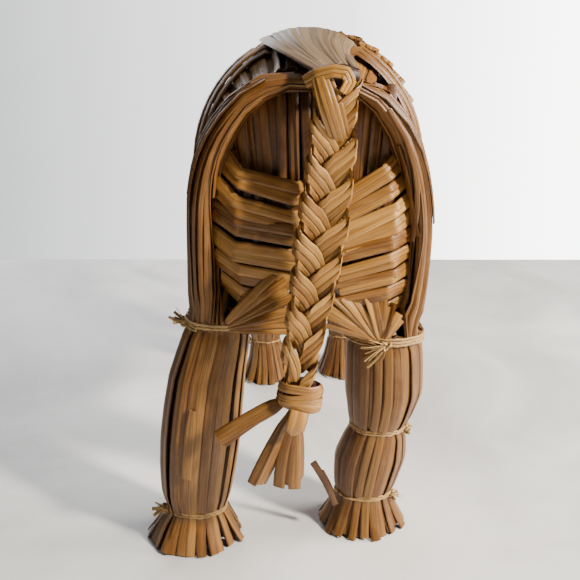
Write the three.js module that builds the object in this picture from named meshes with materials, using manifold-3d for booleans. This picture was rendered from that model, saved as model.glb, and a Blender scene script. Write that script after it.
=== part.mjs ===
// A small goat made of bound straw, standing on four flared feet. Millimetres, +Z up, nose towards +Y.
// Every bundle of straws is one closed solid with shallow flutes; the twine ties sit in grooves.
import * as THREE from 'three';
import { mergeVertices } from 'three/addons/utils/BufferGeometryUtils.js';
import Module from 'manifold-3d';

const wasm = await Module();
wasm.setup();

// Driving dimensions.
const gap = 0.3; // clearance between pieces that touch
const twine = 1.1; // half the height of a tie, which is two or three turns of twine
const hindY = -70; // the hind feet
const frontY = 84; // the front feet
const bodyX = 4; // the body's middle, because the goat leans a little
const bodyZ = 147;
const rumpY = -58; // where the body's core ends behind
const chestY = 80; // and in front
const rootX = 9.6; // the tail's root
const rootY = -82;
const rootZ = 184;
const tailX = -1.5; // the plait's lower end
const tailZ = 83.5;
const tailPeriod = 37; // length of one full crossing of the three strands
const hornPeriod = 33;
const standCentreY = 35; // the middle of the whole length, which the frame's origin lies under

const strawColours = {
  golden: 0xb08854,
  pale: 0xc9a36a,
  grey: 0x9c8464,
  dark: 0x6e4f2c,
  twine: 0xd9c193,
};

const v = (x, y, z) => new THREE.Vector3(x, y, z);
const along = { x: v(1, 0, 0), y: v(0, 1, 0), z: v(0, 0, 1) };
const goat = new THREE.Group();
goat.position.y = -standCentreY;

function addPiece(name, geometry, colour) {
  const finish = { color: strawColours[colour], roughness: 0.6, metalness: 0 };
  const mesh = new THREE.Mesh(geometry, new THREE.MeshStandardMaterial(finish));
  mesh.name = name;
  goat.add(mesh);
}

// Skins a row of rings that all have the same number of points, and closes it with two flat fans, or
// into a loop.
function loft(rings, loop = false) {
  const sides = rings[0].length;
  const points = rings.flat();
  const faces = [];
  const last = loop ? rings.length : rings.length - 1;
  for (let i = 0; i < last; i += 1) {
    const next = ((i + 1) % rings.length) * sides;
    for (let k = 0; k < sides; k += 1) {
      const right = (k + 1) % sides;
      faces.push(i * sides + k, i * sides + right, next + right);
      faces.push(i * sides + k, next + right, next + k);
    }
  }
  if (!loop) {
    for (const [ring, flip] of [[0, true], [rings.length - 1, false]]) {
      const middle = points.length;
      const centre = v(0, 0, 0);
      rings[ring].forEach((point) => centre.addScaledVector(point, 1 / sides));
      points.push(centre);
      for (let k = 0; k < sides; k += 1) {
        const a = ring * sides + k;
        const b = ring * sides + ((k + 1) % sides);
        faces.push(...(flip ? [middle, b, a] : [middle, a, b]));
      }
    }
  }
  const flat = points.flatMap((point) => point.toArray());
  const geometry = new THREE.BufferGeometry();
  geometry.setAttribute('position', new THREE.Float32BufferAttribute(flat, 3));
  geometry.setIndex(faces);
  return geometry;
}

// A bundle of straws. Each station is [x, y, z, half width, half thickness]; the thickness points
// towards facing. Even and odd corners differ by the flute, so the surface reads as straws. A fixed
// cut keeps every ring, and so both ends, square to one direction.
function bundle(stations, facing, { sides = 14, steps = 10, flute = 0.04, cut = null, grow = 0 } = {}) {
  const path = new THREE.CatmullRomCurve3(stations.map(([x, y, z]) => v(x, y, z)));
  const size = new THREE.CatmullRomCurve3(stations.map(([, , , wide, thick]) => v(wide, thick, 0)));
  const rings = [];
  for (let i = 0; i <= steps; i += 1) {
    const centre = path.getPoint(i / steps);
    const tangent = cut ?? path.getTangent(i / steps);
    const half = size.getPoint(i / steps);
    const wide = new THREE.Vector3().crossVectors(facing, tangent).normalize();
    const thick = new THREE.Vector3().crossVectors(tangent, wide);
    const end = i === 0 ? -grow : i === steps ? grow : 0;
    const ring = [];
    for (let k = 0; k < sides; k += 1) {
      const angle = (2 * Math.PI * k) / sides;
      const swell = 1 + (k % 2 === 0 ? flute : -flute);
      ring.push(
        centre
          .clone()
          .addScaledVector(wide, (half.x * swell + grow) * Math.cos(angle))
          .addScaledVector(thick, (half.y * swell + grow) * Math.sin(angle))
          .addScaledVector(tangent, end),
      );
    }
    rings.push(ring);
  }
  return loft(rings);
}

function solid(geometry) {
  const bare = geometry.clone();
  bare.deleteAttribute('normal');
  bare.deleteAttribute('uv');
  const merged = mergeVertices(bare, 1e-4);
  const vertProperties = new Float32Array(merged.attributes.position.array);
  const triVerts = new Uint32Array(merged.index.array);
  return new wasm.Manifold(new wasm.Mesh({ numProp: 3, vertProperties, triVerts }));
}

function toGeometry(manifold) {
  const mesh = manifold.getMesh();
  const geometry = new THREE.BufferGeometry();
  geometry.setAttribute('position', new THREE.Float32BufferAttribute(mesh.vertProperties, 3));
  geometry.setIndex([...mesh.triVerts]);
  return geometry;
}

// Takes the cutters away from a piece and drops slivers that come loose.
function carve(geometry, ...cutters) {
  let result = solid(geometry);
  for (const cutter of cutters) {
    result = result.subtract(solid(cutter));
  }
  const bodies = result.decompose().sort((a, b) => b.volume() - a.volume());
  return toGeometry(bodies[0]);
}

function join(...geometries) {
  return toGeometry(geometries.map(solid).reduce((sum, next) => sum.add(next)));
}

// A band of twine round a bundle of the given half width and half thickness, with a four-sided section.
function band(centre, normal, facing, wide, thick, { depth = 1, high = twine, sides = 16, grow = 0 } = {}) {
  const across = new THREE.Vector3().crossVectors(facing, normal).normalize();
  const deep = new THREE.Vector3().crossVectors(normal, across);
  const rings = [];
  for (let i = 0; i < sides; i += 1) {
    const angle = (-2 * Math.PI * i) / sides;
    const ring = [];
    for (const [out, up] of [[0, -1], [1, 0], [0, 1], [-1, 0]]) {
      const reach = gap + (1 + out) * depth + out * grow;
      ring.push(
        centre
          .clone()
          .addScaledVector(across, (wide + reach) * Math.cos(angle))
          .addScaledVector(deep, (thick + reach) * Math.sin(angle))
          .addScaledVector(normal, up * (high + grow)),
      );
    }
    rings.push(ring);
  }
  return loft(rings, true);
}

function pebble(centre, wide, thick, high) {
  const ball = new THREE.SphereGeometry(1, 6, 4);
  ball.scale(wide, thick, high);
  ball.translate(centre.x, centre.y, centre.z);
  return ball;
}

// The body's outline at a place along its length: middle x, middle z, half width, half height.
function bodyOutline(y) {
  const t = (y - rumpY) / (chestY - rumpY);
  const barrel = Math.sin(Math.PI * (0.26 + 0.5 * t));
  return { x: bodyX - 2, z: bodyZ + 1.5 - 2 * t, wide: 44 * barrel ** 0.45, high: 50.5 * barrel ** 0.4 };
}

function bodyPoint(y, angle, out) {
  const { x, z, wide, high } = bodyOutline(y);
  return v(x + (wide + out) * Math.sin(angle), y, z + (high + out) * Math.cos(angle));
}

// A plate laid over the crest of the body, from one place along it to another.
function plate(fromY, toY, halfAngle, inner, outer, { steps = 6, sides = 10, grow = 0 } = {}) {
  const rings = [];
  for (let i = 0; i <= steps; i += 1) {
    const t = i / steps;
    const end = i === 0 ? -grow : i === steps ? grow : 0;
    const y = THREE.MathUtils.lerp(fromY, toY, t) + end;
    const spread = halfAngle(t) + grow / 40;
    const ring = [];
    for (let k = 0; k <= sides; k += 1) {
      ring.push(bodyPoint(y, spread * ((2 * k) / sides - 1), outer + grow));
    }
    for (let k = sides; k >= 0; k -= 1) {
      ring.push(bodyPoint(y, spread * ((2 * k) / sides - 1), inner - grow));
    }
    rings.push(ring);
  }
  return loft(rings);
}

// A ring laid round the whole body.
function girth(fromY, toY, inner, outer, grow = 0) {
  const rings = [];
  const sides = 32;
  for (let i = 0; i < sides; i += 1) {
    const angle = (-2 * Math.PI * i) / sides;
    rings.push([
      bodyPoint(fromY - grow, angle, inner - grow),
      bodyPoint(fromY - grow, angle, outer + grow),
      bodyPoint(toY + grow, angle, outer + grow),
      bodyPoint(toY + grow, angle, inner - grow),
    ]);
  }
  return loft(rings, true);
}

// Legs: stations from the top down to the flared foot, [x, y, z, half width, half depth]. Each tie is
// [station, how thick its winding is]. The first stations end the legs and take the arches' feet too.
const hipLeft = [-31.8, hindY + 8, 94.5, 12.8, 11.4];
const hipRight = [31.5, hindY + 10, 88, 15.2, 12];
const shoulderLeft = [-20, frontY - 18, 99, 11.5, 10];
const shoulderRight = [28, frontY - 14, 99, 11.5, 10];
const above = ([x, y, z, wide, thick], rise) => [x, y, z + rise, wide, thick];
const legs = {
  hind_leg_left: {
    side: -1,
    stations: [
      above(hipLeft, 3),
      hipLeft,
      [-36.8, hindY + 6, 74, 15.4, 13.5],
      [-40.2, hindY + 4, 48, 16.6, 14],
      [-42.8, hindY + 4, 24, 15, 12.5],
      [-43.2, hindY + 4, 14.5, 13, 11.5],
      [-44, hindY + 3.5, 7, 16.5, 13.5],
      [-44.3, hindY + 3.5, 0, 19.2, 15],
    ],
    ties: { hip_tie_left: [1, 1.4], hind_ankle_tie_left: [5, 1.1] },
  },
  hind_leg_right: {
    side: 1,
    stations: [
      above(hipRight, 3),
      hipRight,
      [32.6, hindY + 11, 64, 16, 13],
      [30.8, hindY + 12, 47, 12, 11],
      [28.6, hindY + 13, 33, 15.3, 12.5],
      [26.2, hindY + 13, 15.5, 12.8, 11],
      [25.8, hindY + 13, 7, 15.5, 12.5],
      [25.6, hindY + 13, 0, 17.8, 14.3],
    ],
    ties: { hip_tie_right: [1, 1.4], knee_tie_right: [3, 1.8], hind_ankle_tie_right: [5, 1.1] },
  },
  front_leg_left: {
    side: -1,
    stations: [
      above(shoulderLeft, 2.5),
      shoulderLeft,
      [-20.5, frontY - 10, 76, 13, 12],
      [-20, frontY - 5, 50, 12, 11.5],
      [-19.5, frontY - 3, 25, 9.5, 9.5],
      [-19, frontY - 2, 10, 12, 12],
      [-19, frontY - 2, 0, 14.5, 14],
    ],
    ties: { shoulder_tie_left: [1, 1.4], front_ankle_tie_left: [4, 1.1] },
  },
  front_leg_right: {
    side: 1,
    stations: [
      above(shoulderRight, 2.5),
      shoulderRight,
      [28.5, frontY - 5, 76, 13, 12],
      [28, frontY + 2, 50, 12, 11.5],
      [27.8, frontY + 5, 25, 9.5, 9.5],
      [27.6, frontY + 6, 10, 12, 12],
      [27.6, frontY + 6, 0, 14.5, 14],
    ],
    ties: { shoulder_tie_right: [1, 1.4], front_ankle_tie_right: [4, 1.1] },
  },
};

const down = v(0, 0, -1);
const legShape = ({ stations }, grow = 0) => (
  bundle(stations, along.y, { steps: 2 * (stations.length - 1), cut: down, grow })
);

// A tie on a leg: a band in the waist at one station, with its knot on the outer side.
function legTie({ stations, side }, [station, depth], grow = 0) {
  const [x, y, z, wide, thick] = stations[station];
  const loose = 1.07; // the ring clears the flutes
  const centre = v(x, y, z);
  const high = twine * depth;
  const ring = band(centre, along.z, along.y, wide * loose, thick * loose, { depth, high, grow });
  const knot = pebble(v(x + side * (wide + 2.4), y - 3, z), 2 + grow, 2.4 + grow, 1.9 + grow);
  return join(ring, knot);
}

// Rump and shoulder arches: thick straw bands from the spine down each side into the hip ties.
function rumpArch(side, grow = 0) {
  const stations = side < 0
    ? [
      [rootX - 6, -72, 181.5, 3, 2.6],
      [-8, -71.5, 181.5, 3.6, 3],
      [-18.5, -70, 177, 4.6, 3.6],
      [-25.5, -68.5, 169.5, 6, 4.3],
      [-31.5, -66, 160, 7.5, 4.8],
      [-35.5, -64, 145, 9, 5.4],
      [-36.5, -63, 123, 9, 5.7],
      [hipLeft[0] - 5, hipLeft[1] - 1, hipLeft[2] + 4.5, 9, 6],
    ]
    : [
      [rootX + 6, -72, 181.5, 3, 2.6],
      [22, -71.5, 178, 3.6, 3.2],
      [28.5, -70, 171.5, 4.6, 4],
      [33.8, -68, 163.5, 6, 4.5],
      [38, -65.5, 152, 7.5, 5],
      [41, -62.5, 132, 9, 5.5],
      [40.8, -61, 110, 9.3, 5.8],
      [hipRight[0] + 7.5, hipRight[1] - 1, hipRight[2] + 4.5, 9.5, 6],
    ];
  return bundle(stations, along.x, { sides: 12, steps: 15, grow });
}

function shoulderArch(side, grow = 0) {
  const foot = side < 0 ? shoulderLeft : shoulderRight;
  const stations = [
    [bodyX + side * 3, 68, 190, 4, 2.4],
    [bodyX + side * 19, 67, 183, 6, 3],
    [bodyX + side * 31, 66, 164, 7, 3.6],
    [bodyX + side * 34, 65, 140, 7.5, 4],
    [foot[0] + side * 4, foot[1] - 1, foot[2] + 4, 9, 6],
  ];
  return bundle(stations, along.x, { sides: 12, steps: 12, grow });
}

// The wrapped thighs behind, and the panel of upright straws above them.
function haunchWrap(side, grow = 0) {
  const stations = side < 0
    ? [
      [-21.5, -61, 101, 8.5, 5],
      [-15.5, -65, 114, 16.5, 8],
      [-14.5, -66, 135, 18, 8.5],
      [-13.5, -65, 152, 17, 7],
      [-13, -64, 158, 14, 4.5],
    ]
    : [
      [27, -60, 92.5, 9, 5],
      [22, -65, 109, 15.5, 8],
      [21.5, -66, 133, 16, 8.5],
      [20.5, -65, 151, 15, 7],
      [20.5, -64, 157.5, 12, 4.5],
    ];
  return bundle(stations, along.y, { steps: 10, grow });
}

function rumpPanel(grow = 0) {
  const stations = [
    [bodyX, -61, 136, 28, 3],
    [bodyX, -62, 150, 29, 4],
    [bodyX + 1, -62.5, 160, 28, 4],
    [bodyX + 2, -63.5, 170, 21, 4],
    [bodyX + 3, -64.5, 179, 12, 3],
  ];
  return bundle(stations, along.y, { steps: 8, grow });
}

// Loose straws that spread from a hip tie up towards the middle, under the wraps.
function hipFan(side, grow = 0) {
  const stations = side < 0
    ? [[-24, -69.5, 102.5, 4, 1.6], [-15, -73, 106.5, 6, 1.8], [-3, -75.5, 111, 8, 1.5]]
    : [[24, -69, 94.5, 4, 1.6], [17, -72.5, 98, 6, 1.8], [8, -75.5, 104, 8, 1.5]];
  return bundle(stations, along.y, { sides: 10, steps: 5, grow });
}

// Neck and head, turned a little to the right.
const neckStations = [
  [bodyX + 2, 68, 152, 30, 30],
  [bodyX + 4, 90, 158, 23, 25],
  [bodyX + 6, 105, 167, 14, 17],
  [bodyX + 8, 113, 176, 12, 12],
];
const headStations = [
  [11, 107, 182, 8, 7],
  [12.5, 117, 179.5, 13, 11],
  [15, 132, 170, 12, 11],
  [18.5, 149, 154, 9, 8.5],
  [19.5, 154, 149, 7.5, 7],
  [21.5, 163, 140, 10, 8],
];
const neck = (grow = 0) => bundle(neckStations, along.z, { steps: 8, grow });
const head = (grow = 0) => bundle(headStations, along.z, { steps: 14, grow });

function tieOn(stations, facing, station, depth, grow = 0) {
  const path = new THREE.CatmullRomCurve3(stations.map(([x, y, z]) => v(x, y, z)));
  const [x, y, z, wide, thick] = stations[station];
  const normal = path.getTangent(station / (stations.length - 1));
  return band(v(x, y, z), normal, facing, wide, thick, { depth, high: twine * depth, sides: 14, grow });
}

function ear(side, grow = 0) {
  const stations = [
    [12.5 + side * 14, 115, 180, 2.5, 1.8],
    [12.5 + side * 20, 112, 178, 5, 1.8],
    [12.5 + side * 29, 107, 172, 3.5, 1.4],
    [12.5 + side * 34, 104, 168, 1.2, 0.9],
  ];
  return bundle(stations, along.z, { sides: 8, steps: 6, grow });
}

const beardStations = [
  [18, 148, 146, 5, 4],
  [18, 149, 133, 4, 3.4],
  [18, 148, 117, 7, 4],
  [18, 146, 98, 9, 4.5],
];
const beard = (grow = 0) => bundle(beardStations, along.y, { sides: 10, steps: 7, grow });

// One strand of a flat plait of three. Seen along the plait it runs through a figure of eight.
function strand(path, facing, index, { period, sway, rise, wide, thick, sides, perPeriod, taper }) {
  const length = path.getLength();
  const steps = Math.round((length / period) * perPeriod);
  const centres = [];
  const normals = [];
  for (let i = 0; i <= steps; i += 1) {
    const t = i / steps;
    const centre = path.getPointAt(t);
    const tangent = path.getTangentAt(t);
    const across = new THREE.Vector3().crossVectors(facing, tangent).normalize();
    const normal = new THREE.Vector3().crossVectors(tangent, across);
    const phase = (2 * Math.PI * t * length) / period + (2 * Math.PI * index) / 3;
    const width = taper(t);
    centre.addScaledVector(across, width * sway * Math.sin(phase));
    centre.addScaledVector(normal, rise * Math.sin(2 * phase));
    centres.push(centre);
    normals.push(normal);
  }
  const route = new THREE.CatmullRomCurve3(centres);
  const rings = centres.map((centre, i) => {
    const tangent = route.getTangent(i / steps);
    const flat = new THREE.Vector3().crossVectors(normals[i], tangent).normalize();
    const normal = new THREE.Vector3().crossVectors(tangent, flat);
    const ring = [];
    for (let k = 0; k < sides; k += 1) {
      const angle = (2 * Math.PI * k) / sides;
      ring.push(
        centre
          .clone()
          .addScaledVector(flat, wide * taper(i / steps) * Math.cos(angle))
          .addScaledVector(normal, thick * Math.sin(angle)),
      );
    }
    return ring;
  });
  return loft(rings);
}

const tailPath = new THREE.CatmullRomCurve3([
  v(rootX - 0.5, rootY, rootZ - 7.5),
  v(rootX - 2, rootY - 3, rootZ - 30),
  v(rootX - 6, rootY - 7, rootZ - 65),
  v(tailX, rootY - 10, tailZ + 4.5),
]);
const tailPlait = {
  period: tailPeriod,
  sway: 6,
  rise: 2.6,
  wide: 3.5,
  thick: 1,
  sides: 6,
  perPeriod: 12,
  taper: (t) => 0.8 + 0.2 * Math.sin(Math.PI * Math.min(1, t * 1.15)),
};

// A horn sweeps up from the poll, then back and down beside the neck.
function hornPath(side) {
  const points = side < 0
    ? [[6, 113, 193.5], [-3, 107, 195], [-14, 98, 193.5], [-27, 88, 183], [-35.5, 80, 163], [-38.5, 73, 136]]
    : [[19, 112, 194], [28, 106, 194], [40, 97, 188.5], [51, 88, 177.5], [58.5, 80, 160], [61.5, 73, 131]];
  return new THREE.CatmullRomCurve3(points.map(([x, y, z]) => v(x, y, z)));
}
const hornPlait = {
  period: hornPeriod,
  sway: 4.6,
  rise: 2.4,
  wide: 2.8,
  thick: 0.75,
  sides: 6,
  perPeriod: 10,
  taper: (t) => 1 - 0.35 * t,
};
const hornFacing = (side) => v(side, 0.35, 0.5).normalize();

// The roll of folded straw that holds the tail's root. It is round about both of the tail's axes.
function tailRootWrap(grow = 0) {
  const roll = new THREE.SphereGeometry(1, 16, 10);
  roll.scale(9 + grow, 5.2 + grow, 5.2 + grow);
  roll.translate(rootX, rootY, rootZ);
  return roll;
}

const tailEndStations = [
  [tailX, rootY - 10, tailZ + 1.5, 6, 3.6],
  [tailX, rootY - 10, tailZ - 3, 8, 4.6],
  [tailX, rootY - 10, tailZ - 10, 6.5, 4],
  [tailX - 0.5, rootY - 10, tailZ - 12, 5, 3.4],
];
const tuftStations = [
  [tailX - 0.5, rootY - 10, tailZ - 13, 4.5, 3.2],
  [tailX - 2, rootY - 10, tailZ - 22, 6, 4],
  [tailX - 6.5, rootY - 10, tailZ - 39.5, 9.5, 5],
];
const strayStations = [
  [tailX - 7.6, rootY - 10, tailZ - 8, 1.6, 1],
  [tailX - 16, rootY - 10.5, tailZ - 14, 2.4, 1],
  [tailX - 29, rootY - 11, tailZ - 23, 3.4, 1],
];
const brokenStations = [
  [12.2, hindY + 4, 15, 1.6, 0.8],
  [8.6, hindY + 1, 25, 2, 0.9],
  [5.5, hindY - 1, 35, 1.4, 0.8],
];

// The body's core: longitudinal straws, drawn in at both ends.
function bodyCore() {
  const places = [rumpY, -52, -40, -20, 5, 30, 55, 70, chestY];
  const straws = 28;
  const rings = places.map((y, i) => {
    const closing = i === 0 || i === places.length - 1 ? -9 : 0;
    const ring = [];
    for (let k = straws; k > 0; k -= 1) {
      const flute = k % 2 === 0 ? 0 : -1.4;
      ring.push(bodyPoint(y, (-2 * Math.PI * k) / straws, closing + flute));
    }
    return ring;
  });
  return loft(rings);
}

// The straws over the back, spread wider in the middle than at the tail's root.
const fanSpread = (t) => 0.27 + 0.14 * Math.sin(Math.PI * t * 0.7);
const backFan = (grow = 0) => plate(-66, 24, fanSpread, 0.5, 3.4, { grow });

// Build everything, cutting each piece back where a neighbour passes.
const sides = { left: -1, right: 1 };
const perSide = (shape) => [shape(-1, gap), shape(1, gap)];
const tiesOf = (leg) => Object.values(leg.ties).map((tie) => legTie(leg, tie, gap));
const ties = Object.values(legs).flatMap(tiesOf);
const neckTie = (grow = 0) => tieOn(neckStations, along.z, 2, 1.3, grow);
const muzzleTie = (grow = 0) => tieOn(headStations, along.z, 4, 1.2, grow);
const beardTie = (grow = 0) => tieOn(beardStations, along.y, 1, 0.9, grow);
const arches = [...perSide(rumpArch), ...perSide(shoulderArch)];
const wraps = perSide(haunchWrap);
const legTops = Object.values(legs).map((leg) => legShape(leg, gap));
const bodyNeighbours = [...arches, ...wraps, ...legTops, ...ties, rumpPanel(gap), neck(gap)];

addPiece('body_core', carve(bodyCore(), ...bodyNeighbours), 'golden');
addPiece('back_fan', carve(backFan(), ...arches), 'grey');
addPiece('girth_band_rear', carve(girth(-47, -39, 0.4, 2.4), backFan(gap), ...arches), 'golden');
addPiece('girth_band_front', carve(girth(36, 44, 0.4, 2.4), ...arches), 'golden');
addPiece('rump_panel', carve(rumpPanel(), ...wraps, ...arches, backFan(gap)), 'dark');
addPiece('neck_bundle', carve(neck(), neckTie(gap), head(gap), ...perSide(shoulderArch)), 'golden');
addPiece('neck_tie', neckTie(), 'twine');
addPiece('head_bundle', carve(head(), muzzleTie(gap)), 'golden');
addPiece('muzzle_tie', muzzleTie(), 'twine');
addPiece('beard', carve(beard(), beardTie(gap), head(gap), muzzleTie(gap)), 'pale');
addPiece('beard_tie', beardTie(), 'twine');

for (const [side, sign] of Object.entries(sides)) {
  const hindLeg = legShape(legs[`hind_leg_${side}`], gap);
  const frontLeg = legShape(legs[`front_leg_${side}`], gap);
  addPiece(`rump_arch_${side}`, carve(rumpArch(sign), haunchWrap(sign, gap), hindLeg), 'golden');
  addPiece(`shoulder_arch_${side}`, carve(shoulderArch(sign), frontLeg), 'golden');
  addPiece(`haunch_wrap_${side}`, carve(haunchWrap(sign), hindLeg), 'pale');
  const fan = carve(hipFan(sign), haunchWrap(sign, gap), rumpArch(sign, gap), hindLeg);
  addPiece(`hip_fan_${side}`, fan, 'pale');
  addPiece(`ear_${side}`, carve(ear(sign), head(gap)), 'pale');
  for (let index = 0; index < 3; index += 1) {
    const horn = strand(hornPath(sign), hornFacing(sign), index, hornPlait);
    addPiece(`horn_${side}_strand_${index + 1}`, horn, 'pale');
  }
}

for (const [name, leg] of Object.entries(legs)) {
  const ownTies = Object.entries(leg.ties);
  addPiece(name, legShape(leg), 'golden');
  ownTies.forEach(([tieName, tie]) => addPiece(tieName, legTie(leg, tie), 'twine'));
}

addPiece('broken_straw', bundle(brokenStations, along.y, { sides: 6, steps: 4 }), 'dark');
addPiece('tail_root_wrap', tailRootWrap(), 'pale');
for (let index = 0; index < 3; index += 1) {
  addPiece(`tail_strand_${index + 1}`, strand(tailPath, along.y, index, tailPlait), 'pale');
}
addPiece('tail_end_wrap', bundle(tailEndStations, along.y, { sides: 12, steps: 6 }), 'pale');
addPiece('tail_tuft', bundle(tuftStations, along.y, { sides: 12, steps: 5 }), 'golden');
addPiece('tail_stray_straw', bundle(strayStations, along.y, { sides: 6, steps: 4 }), 'golden');

export default goat;
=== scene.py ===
"""A straw goat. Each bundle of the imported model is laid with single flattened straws, so the shapes and
places all come from the frame; lengths below are in metres, or in millimetres times MM."""
import random
from math import atan2, ceil, cos, exp, floor, pi, radians, sin, sqrt, tan

import bpy
import numpy as np
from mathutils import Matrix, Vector
from mathutils.bvhtree import BVHTree


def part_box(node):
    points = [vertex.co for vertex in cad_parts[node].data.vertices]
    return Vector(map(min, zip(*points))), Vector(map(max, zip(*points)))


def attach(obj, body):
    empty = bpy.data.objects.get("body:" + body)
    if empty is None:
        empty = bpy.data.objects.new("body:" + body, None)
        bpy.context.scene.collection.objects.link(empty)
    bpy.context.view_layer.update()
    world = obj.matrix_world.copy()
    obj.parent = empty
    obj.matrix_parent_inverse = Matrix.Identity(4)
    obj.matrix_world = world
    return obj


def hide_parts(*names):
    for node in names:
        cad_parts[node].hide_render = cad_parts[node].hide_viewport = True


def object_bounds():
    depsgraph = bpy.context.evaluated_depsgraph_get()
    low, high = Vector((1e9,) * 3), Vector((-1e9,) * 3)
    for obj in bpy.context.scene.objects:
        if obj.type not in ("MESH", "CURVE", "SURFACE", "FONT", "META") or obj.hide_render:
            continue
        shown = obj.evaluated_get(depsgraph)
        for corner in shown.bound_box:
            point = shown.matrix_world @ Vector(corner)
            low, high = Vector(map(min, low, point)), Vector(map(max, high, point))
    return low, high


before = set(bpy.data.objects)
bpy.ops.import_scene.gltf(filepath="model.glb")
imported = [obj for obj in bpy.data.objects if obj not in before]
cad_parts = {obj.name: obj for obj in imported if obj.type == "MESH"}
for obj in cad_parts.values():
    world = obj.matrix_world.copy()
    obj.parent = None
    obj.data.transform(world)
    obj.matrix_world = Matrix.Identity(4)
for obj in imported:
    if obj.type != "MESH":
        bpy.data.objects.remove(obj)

MM = 0.001
STRAW_WIDTH = 3.9 * MM
STRAW_THICK = 0.8 * MM
STRAW_HOLLOW = 0.8 * MM  # how deep a straw's hollow end is
TWINE_RADIUS = 0.55 * MM
TWINE_TWIST = 900.0  # radians for each metre of twine
X, Y, Z = np.eye(3)
cad_box = [list(corner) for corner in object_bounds()]


def add_object(name, data):
    thing = bpy.data.objects.new(name, data)
    bpy.context.scene.collection.objects.link(thing)
    return thing


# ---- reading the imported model

def unit(rows):
    """A vector, or each vector of a row of them, brought to length 1."""
    return rows / np.maximum(np.linalg.norm(rows, axis=-1, keepdims=True), 1e-12)


def between(start, end, count):
    """Points in a straight row from one place to another."""
    return [start + (end - start) * t for t in np.linspace(0, 1, count)]


def path_length(points):
    return float(np.linalg.norm(np.diff(points, axis=0), axis=1).sum())


def smooth(rows, times):
    """Rounds off the corners of a row of points, and keeps its ends."""
    rows = np.array(rows)
    for _ in range(times):
        rows[1:-1] = (rows[:-2] + 2 * rows[1:-1] + rows[2:]) / 4
    return rows


def box(name):
    low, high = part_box(name)
    return np.array(low), np.array(high)


def middle(name):
    low, high = box(name)
    return (low + high) / 2


class Surface:
    """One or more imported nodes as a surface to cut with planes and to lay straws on."""

    def __init__(self, *names):
        points, faces = [], []
        for name in names:
            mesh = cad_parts[name].data
            start = len(points)
            points += [list(vertex.co) for vertex in mesh.vertices]
            faces += [[start + i for i in face.vertices] for face in mesh.polygons]
        self.points = np.array(points)
        self.edges = np.array([(f[i], f[i - 1]) for f in faces for i in range(len(f))])
        self.tree = BVHTree.FromPolygons(points, faces)

    def section(self, origin, normal, keep=None):
        """The points where a plane cuts the surface, on the side of origin that keep points to."""
        side = (self.points - origin) @ normal
        a, b = self.edges.T
        cut = side[a] * side[b] < 0
        a, b = a[cut], b[cut]
        share = side[a] / (side[a] - side[b])
        found = self.points[a] + (self.points[b] - self.points[a]) * share[:, None]
        if keep is not None:
            found = found[(found - origin) @ keep > 0]
        return found

    def reach(self, start, direction):
        """How far off the surface is along a direction."""
        hit = self.tree.ray_cast(Vector(start), Vector(direction))
        return hit[3] if hit[0] is not None else None

    def drape(self, point, direction):
        """Where a point lands when it is dropped from far off along a direction, and the normal there."""
        far = np.array(point) - np.array(direction) * 0.5
        place, normal, _, _ = self.tree.ray_cast(Vector(far), Vector(direction))
        if place is None:
            return None, None
        return np.array(place), np.array(normal)


def planes_between(start, end, normal, count):
    """Parallel planes from one point to another."""
    return [(point, normal, None) for point in between(start, end, count)]


def planes_along(name, way, count, trim=0.4 * MM):
    """Planes across a node, one after another along way, which is an axis or its opposite."""
    low, high = box(name)
    reach = way * ((high - low) / 2 - trim)
    return planes_between(middle(name) - reach, middle(name) + reach, np.abs(way), count)


def arc_planes(name, pivot, up, out, count=24, trim=0.03):
    """Planes that turn about a pivot, from where the node starts near up to where it ends towards out."""
    spread = Surface(name).points - pivot
    angles = np.arctan2(spread @ out, spread @ up)
    first, last = angles.min() + trim, angles.max() - trim
    planes = []
    for angle in np.linspace(first, last, count):
        ray = up * cos(angle) + out * sin(angle)
        normal = out * cos(angle) - up * sin(angle)
        planes.append((pivot, normal, ray))
    return planes


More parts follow.
